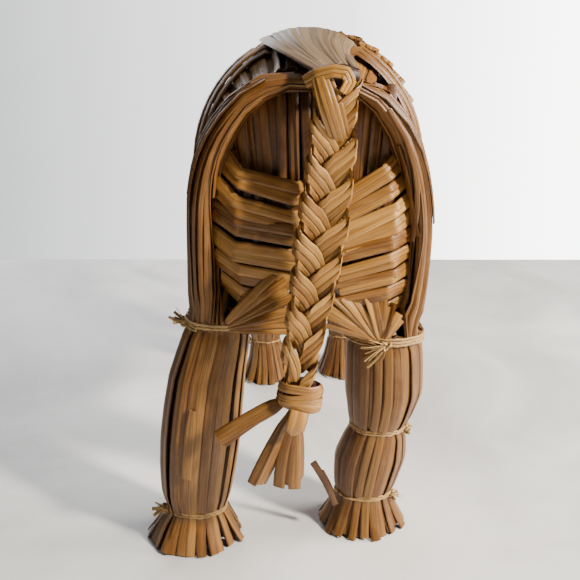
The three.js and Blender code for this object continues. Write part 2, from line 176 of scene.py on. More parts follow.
class Bundle:
    """A node read as a bundle: its centre line, and how far its surface lies from that all round.

    Places on it are given by s, from 0 at its start to 1 at its end, an angle, and a depth."""

    ROUND = 48

    def __init__(self, name, planes, across):
        surface = Surface(name)
        centres, us, vs, reaches = [], [], [], []
        for origin, normal, keep in planes:
            cut = surface.section(origin, normal, keep)
            if len(cut) < 6:
                continue
            u = unit(across - normal * (across @ normal))
            v = np.cross(normal, u)
            flat = np.stack([(cut - origin) @ u, (cut - origin) @ v])
            mid = (flat.min(axis=1) + flat.max(axis=1)) / 2
            centre = origin + u * mid[0] + v * mid[1]
            reach = []
            for angle in np.arange(self.ROUND) * 2 * pi / self.ROUND:
                found = surface.reach(centre, u * cos(angle) + v * sin(angle))
                reach.append(found if found else (reach[-1] if reach else 0.01))
            centres.append(centre)
            us.append(u)
            vs.append(v)
            reaches.append(reach)
        self.centres, self.us, self.vs = np.array(centres), np.array(us), np.array(vs)
        grid = np.array(reaches)
        for _ in range(2):
            grid = (grid + np.roll(grid, 1, axis=1) + np.roll(grid, -1, axis=1)) / 3
        self.grid = grid
        self.count = len(centres)

    def at(self, s, angle, depth=0.0):
        """The point at s along the bundle and at an angle round it, some depth below its surface."""
        place = min(max(s, 0.0), 1.0) * (self.count - 1)
        ring = min(int(place), self.count - 2)
        turn = (angle / (2 * pi) * self.ROUND) % self.ROUND
        part = turn - int(turn)
        left, right = int(turn) % self.ROUND, (int(turn) + 1) % self.ROUND
        ends = []
        for i in (ring, ring + 1):
            reach = self.grid[i, left] * (1 - part) + self.grid[i, right] * part
            out = self.us[i] * cos(angle) + self.vs[i] * sin(angle)
            ends.append(self.centres[i] + out * (reach - depth))
        share = place - ring
        return ends[0] * (1 - share) + ends[1] * share

    def out(self, s, angle):
        """The way out from the surface, from how it runs round about and ahead."""
        round_about = self.at(s, angle + 0.12) - self.at(s, angle - 0.12)
        ahead = self.at(min(s + 0.04, 1), angle) - self.at(max(s - 0.04, 0), angle)
        normal = unit(np.cross(round_about, ahead))
        outward = self.at(s, angle) - self.at(s, angle, 2 * MM)
        return normal if normal @ outward > 0 else -normal

    def ring(self, s, depth, sides):
        """Points all round the bundle, in the order that makes Pile.skin's faces point out."""
        return np.array([self.at(s, -a, depth) for a in np.arange(sides) * 2 * pi / sides])

    def spot(self, s, angle, depth=0.0):
        """A point for a straw to lie on, and the way out from the bundle there."""
        return self.at(s, angle, depth), self.out(s, angle)

    def girth(self, s):
        return path_length([self.at(s, a) for a in np.linspace(0, 2 * pi, 25)])

    def length(self):
        return path_length(self.centres)

    def share_at(self, value, axis):
        """The s at which the centre line reaches a value along an axis."""
        reached = self.centres @ axis
        order = np.argsort(reached)
        return float(np.interp(value, reached[order], np.linspace(0, 1, self.count)[order]))

    def fill_grooves(self, reach):
        """Bridges the grooves that neighbours cut across the bundle, up to reach rings either way."""
        padded = np.pad(self.grid, ((reach, reach), (0, 0)), mode="edge")
        grid = np.max([padded[i:i + self.count] for i in range(2 * reach + 1)], axis=0)
        grid[1:-1] = (grid[:-2] + grid[1:-1] + grid[2:]) / 3
        for _ in range(5):
            grid = (grid + np.roll(grid, 1, axis=1) + np.roll(grid, -1, axis=1)) / 3
        self.grid = grid

    def draw_in(self, depth, rings):
        """Draws the first rings in, the more the nearer to the start."""
        self.grid[:rings] -= depth * np.linspace(1, 0, rings, endpoint=False)[:, None] ** 1.5


# ---- making straws and twine

# A flattened straw, across and out, in half widths and half thicknesses: two low ridges with a crease.
STRAW_SECTION = np.array([
    (-1, 0), (-0.84, 0.62), (-0.45, 1), (0, 0.78), (0.45, 1), (0.84, 0.62), (1, 0),
    (0.6, -0.7), (-0.6, -0.7),
])
# How dark the section's corners are, on a straw in a bundle and on one in a plait: the flanks and the
# underside lie in the shade of the gaps.
STRAW_SHADE = np.array([0.75, 0.28, 0, 0.14, 0, 0.28, 0.75, 0.6, 0.6])
RIBBON_SHADE = np.array([0.6, 0.2, 0, 0.1, 0, 0.2, 0.6, 0.12, 0.12])
# A tone is where a straw lies between deep and light, a spare number, and how much painted shade it gets. A
# bundle's inside is coloured in full painted shade.
INSIDE_SHADE_TONE = (0.1, 0.5, 1.0)  # the dark of a bundle's inside


class Pile:
    """Collects straws and twine, and turns them into one mesh piece.

    Its materials read two values at every point: fibre, which is where the point lies across and along its
    straw in metres, and tone."""

    def __init__(self, name):
        self.name = name
        self.dice = random.Random(name)
        self.points, self.faces, self.fibre, self.tone = [], [], [], []
        self.count = 0

    def skin(self, rings, fibre, tone, loop=False):
        """Joins rings of points into a tube. rings and fibre are (n, k, 3); tone is (n, k, 3) or (n, 3)."""
        n, k = rings.shape[:2]
        start = self.count
        self.points.append(rings.reshape(-1, 3))
        self.fibre.append(fibre.reshape(-1, 3))
        self.tone.append(tone.reshape(-1, 3) if tone.ndim == 3 else np.repeat(tone, k, axis=0))
        index = start + np.arange(n * k).reshape(n, k)
        if loop:
            index = np.vstack([index, index[:1]])
        a, b = index[:-1], index[1:]
        quads = np.stack([a, np.roll(a, -1, axis=1), np.roll(b, -1, axis=1), b], axis=-1).reshape(-1, 4)
        self.faces += quads.tolist()
        self.count += n * k
        return index

    def cap(self, ring, centre, fibre, tone, flip):
        """Closes a tube's end with a fan of triangles about one more point."""
        self.points.append(centre[None])
        self.fibre.append(fibre[None])
        self.tone.append(tone[None])
        middle_index = self.count
        self.count += 1
        for i in range(len(ring)):
            a, b = int(ring[i]), int(ring[(i + 1) % len(ring)])
            self.faces.append([middle_index, b, a] if flip else [middle_index, a, b])

    def straw(self, points, normals, width=None, thick=None, tilt=0.0, tone=None, ends=(1, 1), dark=0.0):
        """One straw along a row of points, flat side towards the normals, or towards one normal all along.

        ends gives its width at the two ends as shares of its full width, and dark adds painted shade to it."""
        path = np.array(points, dtype=float)
        width = width or STRAW_WIDTH * self.dice.uniform(0.8, 1.15)
        ahead = unit(np.gradient(path, axis=0))
        across = unit(np.cross(normals, ahead))
        up = np.cross(ahead, across)
        turned = across * cos(tilt) + up * sin(tilt)
        up = up * cos(tilt) - across * sin(tilt)
        t = np.linspace(0, 1, len(path))
        half = width / 2 * (ends[0] + (1 - ends[0]) * np.minimum(1, t * 4))
        half = half * (ends[1] + (1 - ends[1]) * np.minimum(1, (1 - t) * 4))
        self.strip(path, turned * half[:, None], up, thick, tone, shade=STRAW_SHADE + dark)

    def strip(self, path, breadth, up, thick=None, tone=None, shade=STRAW_SHADE):
        """A flat straw along a path. breadth goes from its middle to its edge, and up is its outer side."""
        dice = self.dice
        thick = thick or STRAW_THICK * dice.uniform(0.8, 1.25)
        rise = STRAW_SECTION[:, 1][None, :, None] * (thick / 2) * up[:, None]
        rings = path[:, None] + STRAW_SECTION[:, 0][None, :, None] * breadth[:, None] + rise
        steps = np.linalg.norm(np.diff(path, axis=0), axis=1)
        length = np.concatenate([[0], np.cumsum(steps)])
        shift = [dice.uniform(0, 1) for _ in range(3)]
        fibre = np.zeros(rings.shape)
        fibre[..., 0] = STRAW_SECTION[:, 0] * np.linalg.norm(breadth, axis=1).max()
        fibre[..., 1] = length[:, None]
        fibre += shift
        base = (dice.gauss(0.5, 0.19), dice.random(), 0.0) if tone is None else tone
        tones = np.tile(np.array(base, dtype=float), (*rings.shape[:2], 1))
        tones[..., 2] += shade
        index = self.skin(rings, fibre, tones)
        # The hollow ends get full painted shade, for the shade inside a cut straw.
        dark = np.array([base[0], base[1], 1.0])
        ahead = unit(np.diff(path, axis=0))
        self.cap(index[0], path[0] + ahead[0] * STRAW_HOLLOW, fibre[0, 3], dark, True)
        self.cap(index[-1], path[-1] - ahead[-1] * STRAW_HOLLOW, fibre[-1, 3], dark, False)

    def twine(self, points, radius=TWINE_RADIUS, loop=False, sides=7, taper=False):
        """A two-ply twisted twine along a row of points."""
        path = np.array(points, dtype=float)
        if loop:
            ahead = np.roll(path, -1, axis=0) - np.roll(path, 1, axis=0)
        else:
            ahead = np.gradient(path, axis=0)
        ahead = unit(ahead)
        side = np.empty_like(path)
        side[0] = unit(np.cross(ahead[0], Z + 0.31 * X))
        for i in range(1, len(path)):
            side[i] = unit(side[i - 1] - ahead[i] * (side[i - 1] @ ahead[i]))
        up = np.cross(ahead, side)
        length = np.concatenate([[0], np.cumsum(np.linalg.norm(np.diff(path, axis=0), axis=1))])
        angles = np.arange(sides) * 2 * pi / sides
        lobes = 1 + 0.24 * np.cos(2 * (angles[None] - TWINE_TWIST * length[:, None]))
        size = radius * lobes
        if taper:
            size = size * np.linspace(1, 0.25, len(path))[:, None]
        spokes = np.cos(angles)[None, :, None] * side[:, None] + np.sin(angles)[None, :, None] * up[:, None]
        rings = path[:, None] + size[..., None] * spokes
        fibre = np.zeros(rings.shape)
        fibre[..., 0] = radius * angles[None] + length[:, None] * 0.7
        fibre[..., 1] = length[:, None]
        fibre += self.dice.random()
        tones = np.tile([self.dice.gauss(0.5, 0.1), self.dice.random(), 0.0], (len(path), 1))
        index = self.skin(rings, fibre, tones, loop)
        if not loop:
            self.cap(index[0], path[0], fibre[0, 0], tones[0], True)
            self.cap(index[-1], path[-1], fibre[-1, 0], tones[-1], False)

    def core(self, bundle, depth, first=0.0, last=1.0, steps=18, sides=24):
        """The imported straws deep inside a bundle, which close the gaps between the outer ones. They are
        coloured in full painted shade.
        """
        rings = np.array([bundle.ring(s, depth, sides) for s in np.linspace(first, last, steps)])
        fibre = np.zeros(rings.shape)
        fibre[..., 0] = np.arange(sides)[None] * 0.004
        fibre[..., 1] = np.linspace(0, bundle.length(), steps)[:, None]
        tones = np.tile(INSIDE_SHADE_TONE, (steps, 1))
        index = self.skin(rings, fibre, tones)
        self.cap(index[0], rings[0].mean(axis=0), fibre[0, 0], tones[0], True)
        self.cap(index[-1], rings[-1].mean(axis=0), fibre[-1, 0], tones[-1], False)

    def plug(self, bundle, depth, reach, sides=20):
        """A stub in full painted shade that carries a bundle's inside on, past its start, into a neighbour,
        with straws on it that are darkened as painted shade too.
        """
        ring = bundle.ring(0, depth, sides)
        centre = ring.mean(axis=0)
        rings = np.array([centre + (ring - centre) * (1 - 0.35 * t) + reach * t for t in (1, 0.5, 0)])
        tones = np.tile(INSIDE_SHADE_TONE, (len(rings), 1))
        index = self.skin(rings, np.zeros(rings.shape), tones)
        self.cap(index[0], rings[0].mean(axis=0), np.zeros(3), tones[0], True)
        self.cap(index[-1], centre, np.zeros(3), tones[0], False)
        for foot, head in zip(rings[-1][::2], rings[0][::2]):
            self.straw(between(foot, head, 5), foot - centre, tilt=self.dice.gauss(0, 0.3), dark=0.35)

    def make(self, slot, body, *nodes):
        """Turns the pile into a piece that rides on a body and stands for some nodes."""
        mesh = bpy.data.meshes.new(self.name)
        points = np.concatenate(self.points)
        mesh.from_pydata(points.tolist(), [], self.faces)
        for label, rows in (("fibre", self.fibre), ("tone", self.tone)):
            layer = mesh.attributes.new(label, "FLOAT_VECTOR", "POINT")
            layer.data.foreach_set("vector", np.concatenate(rows).ravel())
        mesh.polygons.foreach_set("use_smooth", [True] * len(mesh.polygons))
        mesh.update()
        mesh.set_sharp_from_angle(angle=radians(50))
        mesh.materials.append(MATERIALS[slot])
        piece = add_object(self.name, mesh)
        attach(piece, body)
        if nodes:
            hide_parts(*nodes)


def lay(pile, bundle, count, depth, first=0.0, last=1.0, steps=14, angles=None, wander=0.05,
        ragged=0.0, tilt=0.35, tone=None, pinch=(), flare=0.0, width=None, extra=None, dark=0.0):
    """Lays straws lengthwise on a bundle, all round it or between two angles.

    pinch lists (s, how deep, how long) where a tie draws them in, flare is how far their last ends spread,
    ragged is how unevenly they end, and extra is a function that carries them on past the bundle."""
    dice = pile.dice
    for i in range(count):
        angle = 2 * pi * (i + dice.uniform(-0.3, 0.3)) / count
        if angles:
            angle = angles[0] + (angles[1] - angles[0]) * (i + dice.uniform(0.2, 0.8)) / count
        start = first + ragged * dice.uniform(-0.2, 1)
        end = last - ragged * dice.uniform(-0.2, 1)
        sink = depth + dice.uniform(-0.25, 0.45) * MM
        swing, phase = dice.gauss(0, wander), dice.uniform(0, 6.3)
        lift = flare * dice.uniform(0.2, 1.2)
        points, normals = [], []
        for s in np.linspace(start, end, steps):
            drawn = sum(deep * exp(-(((s - where) / long) ** 2)) for where, deep, long in pinch)
            spread = lift * max(0.0, (s - 0.86) / 0.14) ** 2
            a = angle + swing * sin(2.5 * s + phase)
            points.append(bundle.at(s, a, sink + drawn - spread))
            normals.append(bundle.out(s, a))
        if extra is not None:
            points, normals = extra(points, normals)
        pile.straw(points, normals, width=width and width * dice.uniform(0.85, 1.15),
                   tilt=dice.gauss(0, tilt), tone=tone, dark=dark)


# ---- materials

def fill(tree, node, **values):
    """Gives a node its settings and inputs. An input takes a value, or a link from another node."""
    for key, value in values.items():
        if key not in node.inputs:
            setattr(node, key, value)
        elif isinstance(value, bpy.types.NodeSocket):
            tree.links.new(value, node.inputs[key])
        else:
            node.inputs[key].default_value = value
    return node


def make_node(tree, kind, **values):
    return fill(tree, tree.nodes.new(kind), **values)


def new_material(name):
    """A material with its node tree and its shader."""
    material = bpy.data.materials.new(name)
    material.use_nodes = True
    return material, material.node_tree, material.node_tree.nodes["Principled BSDF"]


def ramp(tree, source, stops):
    node = tree.nodes.new("ShaderNodeValToRGB")
    for _ in range(len(stops) - 2):
        node.color_ramp.elements.new(0.5)
    for element, (place, colour) in zip(node.color_ramp.elements, stops):
        element.position = place
        element.color = (*colour, 1)
    tree.links.new(source, node.inputs["Fac"])
    return node.outputs["Color"]


def mix(tree, kind, factor, a, b):
    node = tree.nodes.new("ShaderNodeMix")
    node.data_type = "RGBA"
    node.blend_type = kind
    for socket, value in ((node.inputs[0], factor), (node.inputs[6], a), (node.inputs[7], b)):
        if isinstance(value, bpy.types.NodeSocket):
            tree.links.new(value, socket)
        else:
            socket.default_value = value
    return node.outputs[2]


def stretched_noise(tree, vector, scale, detail=4.0, rough=0.6):
    """Noise drawn out along the fibre direction."""
    place = make_node(tree, "ShaderNodeMapping", Scale=scale, Vector=vector).outputs["Vector"]
    noise = make_node(tree, "ShaderNodeTexNoise", Scale=1.0, Detail=detail, Roughness=rough, Vector=place)
    return noise.outputs["Fac"]


def straw_colour(tree, split, fine, broad, blotch, looks):
    """A colour for each straw's tone, with bleached blotches, streaks, grooves and shade laid over it."""
    deep, mid, light, bleach = looks
    base = ramp(tree, split.outputs[0], [(0.0, deep), (0.45, mid), (1.0, light)])
    patches = ramp(tree, blotch, [(0.42, (0, 0, 0)), (0.75, (0.55, 0.55, 0.55))])
    colour = mix(tree, "MIX", patches, base, (*bleach, 1))
    streak = ramp(tree, fine, [(0.3, (0.52, 0.44, 0.34)), (0.55, (1, 1, 1)), (0.8, (1.15, 1.12, 1.04))])
    groove = ramp(tree, broad, [(0.34, (0.42, 0.34, 0.25)), (0.5, (1, 1, 1))])
    shade_stops = [(0.0, (1, 1, 1)), (0.3, (0.86, 0.82, 0.76)), (1.0, (0.13, 0.075, 0.04))]
    shade = ramp(tree, split.outputs[2], shade_stops)
    for strength, layer in ((0.85, streak), (0.7, groove), (1.0, shade)):
        colour = mix(tree, "MULTIPLY", strength, colour, layer)
    return colour


def straw_material(name, *looks, roughness):
    """Glossy dried straw: a tone for each straw, long fibres, soft blotches, and painted shade read from the
    tone, which darkens the hollow ends and the gaps between straws.
    """
    material, tree, shader = new_material(name)
    fibre = make_node(tree, "ShaderNodeAttribute", attribute_name="fibre").outputs["Vector"]
    tone = make_node(tree, "ShaderNodeAttribute", attribute_name="tone").outputs["Vector"]
    split = make_node(tree, "ShaderNodeSeparateXYZ", Vector=tone)
    fine = stretched_noise(tree, fibre, (4200, 60, 50))
    broad = stretched_noise(tree, fibre, (1100, 22, 50), detail=3)
    blotch = stretched_noise(tree, fibre, (160, 75, 50), detail=5, rough=0.65)
    rough = make_node(tree, "ShaderNodeMapRange", Value=blotch,
                      **{"To Min": roughness - 0.1, "To Max": roughness + 0.16})
    height = make_node(tree, "ShaderNodeMath", operation="ADD")
    for source, socket in zip((fine, broad), height.inputs):
        tree.links.new(source, socket)
    bump = make_node(tree, "ShaderNodeBump", Strength=0.55, Distance=0.00022, Height=height.outputs[0])
    fill(tree, shader, Roughness=rough.outputs[0], Normal=bump.outputs["Normal"],
         **{"Base Color": straw_colour(tree, split, fine, broad, blotch, looks), "Specular IOR Level": 0.4})
    return material


# Each material's deep, middle, light and bleached colour.
MATERIALS = {
    "straw_golden": straw_material("straw_golden", (0.075, 0.024, 0.003), (0.2, 0.083, 0.015),
                                   (0.37, 0.185, 0.046), (0.34, 0.19, 0.062), roughness=0.38),
    "straw_pale": straw_material("straw_pale", (0.13, 0.044, 0.007), (0.32, 0.142, 0.027),
                                 (0.54, 0.295, 0.074), (0.5, 0.305, 0.1), roughness=0.33),
    # straw_grey is straw greyed as painted cool reflection of the sky on the back's straws.
    "straw_grey": straw_material("straw_grey", (0.11, 0.064, 0.033), (0.2, 0.134, 0.076),
                                 (0.3, 0.212, 0.13), (0.28, 0.212, 0.138), roughness=0.45),
    # straw_dark is the straw darkened as painted shade for the hollow above the thighs; the broken straw
    # uses it too.
    "straw_dark": straw_material("straw_dark", (0.045, 0.013, 0.002), (0.15, 0.056, 0.011),
                                 (0.3, 0.135, 0.033), (0.3, 0.16, 0.05), roughness=0.4),
    "twine": straw_material("twine", (0.27, 0.135, 0.04), (0.46, 0.275, 0.1),
                            (0.64, 0.43, 0.19), (0.6, 0.44, 0.22), roughness=0.6),
}


# ---- twine ties

WIND_STEPS = 64  # points in one turn of a tie's twine


def wind(pile, bundle, s, depth, turns, phase, tilt=0.0):
    """Twine wound round a bundle: a helix with its turns side by side."""
    length = bundle.length()
    points = []
    for i in range(int(turns * WIND_STEPS)):
        turn = 2 * pi * i / WIND_STEPS
        rise = (i / WIND_STEPS - turns / 2) * 2.1 * TWINE_RADIUS
        wave = tilt * sin(turn + phase)
        points.append(bundle.at(s + (rise + wave) / length, turn + phase, depth - TWINE_RADIUS * 0.8))
    pile.twine(points)


def knot(pile, place, out, size, frays, fray_length, lead):
    """A small overhand knot with the twine's ends sticking out towards lead and fraying."""
    dice = pile.dice
    side = unit(np.cross(out, Z))
    up = np.cross(side, out)
    loop = []
    for t in np.linspace(0, 2 * pi, 40, endpoint=False):
        ring = side * (sin(t) + 1.6 * sin(2 * t)) + up * (cos(t) - 1.6 * cos(2 * t))
        loop.append(place + ring * size * 0.36 - out * size * 0.45 * sin(3 * t))
    pile.twine(loop, TWINE_RADIUS * 0.95, loop=True)
    for _ in range(frays):
        stray = np.array([dice.gauss(0, 0.42) for _ in range(3)])
        heading = unit(unit(lead) + stray)
        bend = unit(np.cross(heading, [dice.gauss(0, 1) for _ in range(3)])) * dice.uniform(-0.5, 0.5)
        length = fray_length * dice.uniform(0.45, 1.1)
        points = [place + (heading * t + bend * t * t) * length for t in np.linspace(0, 1, 9)]
        if dice.random() < 0.4:
            width = dice.uniform(0.9, 1.6) * MM
            pile.straw(points, out, width=width, thick=0.4 * MM, tilt=dice.uniform(-1, 1))
        else:
            pile.twine(points, TWINE_RADIUS * dice.uniform(0.3, 0.6), taper=True, sides=5)


# ---- the legs

# Each leg's ties, from the top down: how many frays the knot has, their length, the twine's turns, where
# the knot sits round the leg in half turns, and where its ends point.
LEG_TIES = {
    "hind_leg_left": [
        ("hip_tie_left", 10, 6 * MM, 2.6, 1.06, -X + 0.5 * Z),
        ("hind_ankle_tie_left", 8, 5 * MM, 1.6, 1.1, -X)],
    "hind_leg_right": [
        ("hip_tie_right", 18, 10 * MM, 2.3, 1.49, -X - 0.45 * Z - 0.3 * Y),
        ("knee_tie_right", 2, 3 * MM, 2.2, -0.1, X),
        ("hind_ankle_tie_right", 6, 4 * MM, 1.6, -0.12, X)],
    "front_leg_left": [
        ("shoulder_tie_left", 5, 5 * MM, 2.4, 1.08, -X),
        ("front_ankle_tie_left", 4, 4 * MM, 1.6, 1.08, -X)],
    "front_leg_right": [
        ("shoulder_tie_right", 5, 5 * MM, 2.4, -0.1, X),
        ("front_ankle_tie_right", 4, 4 * MM, 1.6, -0.1, X)],
}
TIE_DEPTH = 1.3 * MM  # how far a tie draws the straws in
TIE_LENGTH = 2.4 * MM  # how far to either side of it the waist reaches


def build_leg(name, ties):
    """A bundle of straws with waists at its ties and a flared foot, and the twine of each tie."""
    bundle = Bundle(name, planes_along(name, -Z, 34), X)
    places = [bundle.share_at(middle(tie[0])[2], Z) for tie in ties]
    pinch = [(s, TIE_DEPTH, TIE_LENGTH / bundle.length()) for s in places]
    pile = Pile(name + "_straws")
    pile.core(bundle, 2.6 * MM, 0.0, 0.97)
    count = round(bundle.girth(0.5) / (STRAW_WIDTH * 0.95))
    into_body = unit(-bundle.centres[0] * X) * 3 * MM + Y * 6 * MM + Z * 16 * MM
    pile.plug(bundle, 3 * MM, into_body)
    # The inner layer is darkened as painted shade.
    lay(pile, bundle, count, 1.5 * MM, last=0.995, ragged=0.012, pinch=pinch, flare=1.5 * MM, steps=26,
        wander=0.02, tilt=0.2, dark=0.3)
    lay(pile, bundle, count, 0.5 * MM, last=1.0, ragged=0.008, pinch=pinch, flare=2.2 * MM, steps=30,
        wander=0.025, tilt=0.14)
    if name == "hind_leg_left":
        add_loose_straw(pile, bundle)
    pile.make("straw_golden", "goat", name)
    for (tie, frays, fray_length, turns, knot_at, lead), s in zip(ties, places):
        cord = Pile(tie + "_twine")
        round_arch_too = s < 0.1
        depth = 0.3 * MM if round_arch_too else TIE_DEPTH + 0.1 * MM
        wind(cord, bundle, s, depth, turns, cord.dice.uniform(0, 6), tilt=0.8 * MM)
        knot(cord, *bundle.spot(s, pi * knot_at, -0.5 * MM), 2.1 * MM, frays, fray_length, lead)
        cord.make("twine", "goat", tie)
    return bundle


def add_loose_straw(pile, bundle):
    """A straw that has come away from the leg's outside and ends half way down."""
    spots = [bundle.spot(s, 1.44 * pi, -0.6 * MM - 3 * MM * max(0, s - 0.5))
             for s in np.linspace(0.34, 0.64, 10)]
    pile.straw(*zip(*spots), width=4.4 * MM, tone=(0.75, 0.4, 0), ends=(0.6, 1))


leg_bundles = {name: build_leg(name, ties) for name, ties in LEG_TIES.items()}


# ---- the body

body = Bundle("body_core", planes_along("body_core", Y, 24), X)
body.fill_grooves(2)
body.draw_in(5 * MM, 3)


REAR_EDGE = 165 * MM  # straws that end behind above this height run on under the arch


def reach_under_arch(points, normals):
    """Carries a straw on the back a little further behind, down under the rump's arch."""
    if points[0][2] > REAR_EDGE:
        points.insert(0, points[0] - Y * 9 * MM - Z * 2.5 * MM)
        normals.insert(0, normals[0])
    return points, normals


def close_chest(points, normals):
    """Turns a straw's front end in over the chest, towards the neck."""
    chest = body.centres[-1] + Z * 12 * MM
    inward = chest - points[-1]
    edge = points[-1]
    for share, ahead in ((0.1, 2.5), (0.35, 4.5), (0.7, 6)):
        points.append(edge + inward * share + Y * ahead * MM)
        normals.append(unit(Y - inward / np.linalg.norm(inward) * (0.8 - share)))
    return points, normals


def join_body_ends(points, normals):
    return close_chest(*reach_under_arch(points, normals))


def build_body():
    """Two layers of straws all round the belly, the inner one darkened as painted shade, and a few on top,
    behind, in a light tone as painted light.
    """
    pile = Pile("body_straws")
    pile.core(body, 3.2 * MM, 0.02, 0.98, steps=24, sides=40)
    count = round(body.girth(0.5) / (STRAW_WIDTH * 0.88))
    # The inner layer is darkened as painted shade.
    lay(pile, body, count, 2.1 * MM, ragged=0.01, steps=24, wander=0.03, dark=0.3, extra=join_body_ends)
    lay(pile, body, count, 0.7 * MM, ragged=0.01, steps=24, wander=0.04, tilt=0.25, extra=join_body_ends)
    # Painted light: these few straws on top, behind, are made light where the back lies in shadow.
    lay(pile, body, 11, -0.4 * MM, last=0.11, steps=5, angles=(1.1 * pi, 1.46 * pi), wander=0.02,
        tone=(0.85, 0.3, 0.0), width=3.4 * MM, extra=reach_under_arch)
    pile.make("straw_golden", "goat", "body_core")


GIRTH_ROWS = 5


def build_girth(name):
    """Flat straws wound crosswise round the body, side by side. They sink in where the fan lies on them."""
    low, high = box(name)
    pile = Pile(name + "_straws")
    cover = Surface("back_fan")
    start, end = (body.share_at(value, Y) for value in (low[1] - 3 * MM, high[1] + 2 * MM))
    for row in range(GIRTH_ROWS):
        s = start + (end - start) * (row + 0.5) / GIRTH_ROWS
        begin = pile.dice.uniform(0, 6.3)
        proud = (1.5 + 0.6 * (row % 2)) * MM
        points, normals = [], []
        for angle in np.linspace(begin, begin + 2 * pi + 0.3, 54):
            wave = 0.006 * sin(3 * angle + row)
            hidden = cover.drape(body.at(s, angle), -Z)[0] is not None
            points.append(body.at(s + wave, angle, 1.5 * MM if hidden else -proud))
            normals.append(body.out(s, angle))
        pile.straw(points, normals, width=4 * MM, thick=1.2 * MM, tilt=pile.dice.gauss(0, 0.12))
    pile.make("straw_golden", "goat", name)


FAN_STRAWS = 10  # in each of the fan's two layers
FAN_SINK = 2.2 * MM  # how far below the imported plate's top they lie


def build_back_fan():
    """Straws that run forward over the back and converge behind at the tail's root."""
    low, high = box("back_fan")
    root = middle("tail_root_wrap")
    top = Surface("back_fan", "body_core", "neck_bundle")
    pile = Pile("back_fan_straws")
    for layer in (0, 1):
        for i in range(FAN_STRAWS):
            share = (i + pile.dice.uniform(0.25, 0.75)) / FAN_STRAWS * 2 - 1
            front = high[1] + pile.dice.uniform(-8, 9) * MM
            points = [root + np.array([share * 6.5, 1 + 1.5 * step, 0.8 + 1.2 * layer]) * MM
                      for step in range(3)]
            normals = [unit(Z - 0.6 * Y + 0.4 * share * X)] * 3
            for t in np.linspace(0, 1, 16):
                y = low[1] + 1 * MM + (front - low[1] - 1 * MM) * t
                spread = 0.6 + 0.45 * sin(min(1, t * 1.6) * pi / 2)
                x = (low[0] + high[0]) / 2 + share * 0.5 * (high[0] - low[0]) * spread
                place, normal = top.drape((x, y, 0), -Z)
                if place is not None:
                    points.append(place + normal * (layer * 0.7 * MM - FAN_SINK))
                    normals.append(normal)
            width = pile.dice.uniform(4.2, 5.6) * MM
            pile.straw(smooth(points, 4), smooth(normals, 4), width=width, tilt=pile.dice.gauss(0, 0.12),
                       ends=(0.5, 1))
    # The grey colours are painted cool reflection of the sky on the back.
    pile.make("straw_grey", "goat", "back_fan")


ARCH_STRAW = 2.2 * MM  # how wide an arch's straws are


def build_arch(kind, side, sign, leg_name):
    """A band of parallel straws from the spine down one side into the leg's top tie."""
    name = f"{kind}_arch_{side}"
    pivot = middle(f"haunch_wrap_{side}")
    pivot[1] = middle(name)[1]
    bundle = Bundle(name, arc_planes(name, pivot, Z, sign * X, 28), Y)
    pile = Pile(name + "_straws")
    pile.core(bundle, 2.0 * MM, 0.02, 0.98, sides=16)
    leg = leg_bundles[leg_name]
    root = middle("tail_root_wrap")

    def join_ends(points, normals):
        """Carries a straw up to the tail's root, and down into the leg's tie on its side of the leg."""
        if kind == "rump":
            start = root + sign * 3 * MM * X + Y * 5 * MM + (points[0] - bundle.centres[0]) * 0.3
            points.insert(0, start)
            normals.insert(0, normals[0])
        outward = points[-1] - leg.centres[0]
        turn = atan2(outward[1], outward[0])
        for s, depth in ((0.0, 0.5), (0.03, 1.0), (0.07, 2.8)):
            points.append(leg.at(s, turn, depth * MM))
            normals.append(leg.out(s, turn))
        return points, normals

    count = round(bundle.girth(0.55) / (ARCH_STRAW * 0.85))
    # The inner layer is darkened as painted shade.
    lay(pile, bundle, count, 1.6 * MM, last=0.95, steps=20, wander=0.1, tilt=0.3, width=ARCH_STRAW,
        extra=join_ends, dark=0.3)
    lay(pile, bundle, count, 0.4 * MM, last=0.93, steps=20, wander=0.2, tilt=0.5, width=ARCH_STRAW,
        extra=join_ends)
    lay(pile, bundle, round(count / 2.5), -0.5 * MM, first=0.02, last=0.5, steps=8, wander=0.5, ragged=0.12,
        tilt=0.6, width=ARCH_STRAW)
    pile.make("straw_golden", "goat", name)


# A strip's bends, as turns from the middle of the thigh's back towards its outer side, in half turns.
STRIP_BENDS = (0.72, 0.47, 0.27, -0.3, -0.6)
# The straws between the strips are coloured deep and darkened as painted shade of the gaps.
HAUNCH_GAP_SHADE_TONE = (0.05, 0.5, 0.55)  # the dark straws that show between the strips
STRIP_TRIM = 0.8 * MM  # the strips' bundle is read from this far inside the thigh's ends
# For each side: strips, their pitch, the slopes of the first and the last, and how much of its drop a strip
# has made at the third bend.
STRIPS = {"left": (6, 8.9 * MM, 25, 17, 0.5), "right": (9, 6.5 * MM, 36, 13, 0.24)}


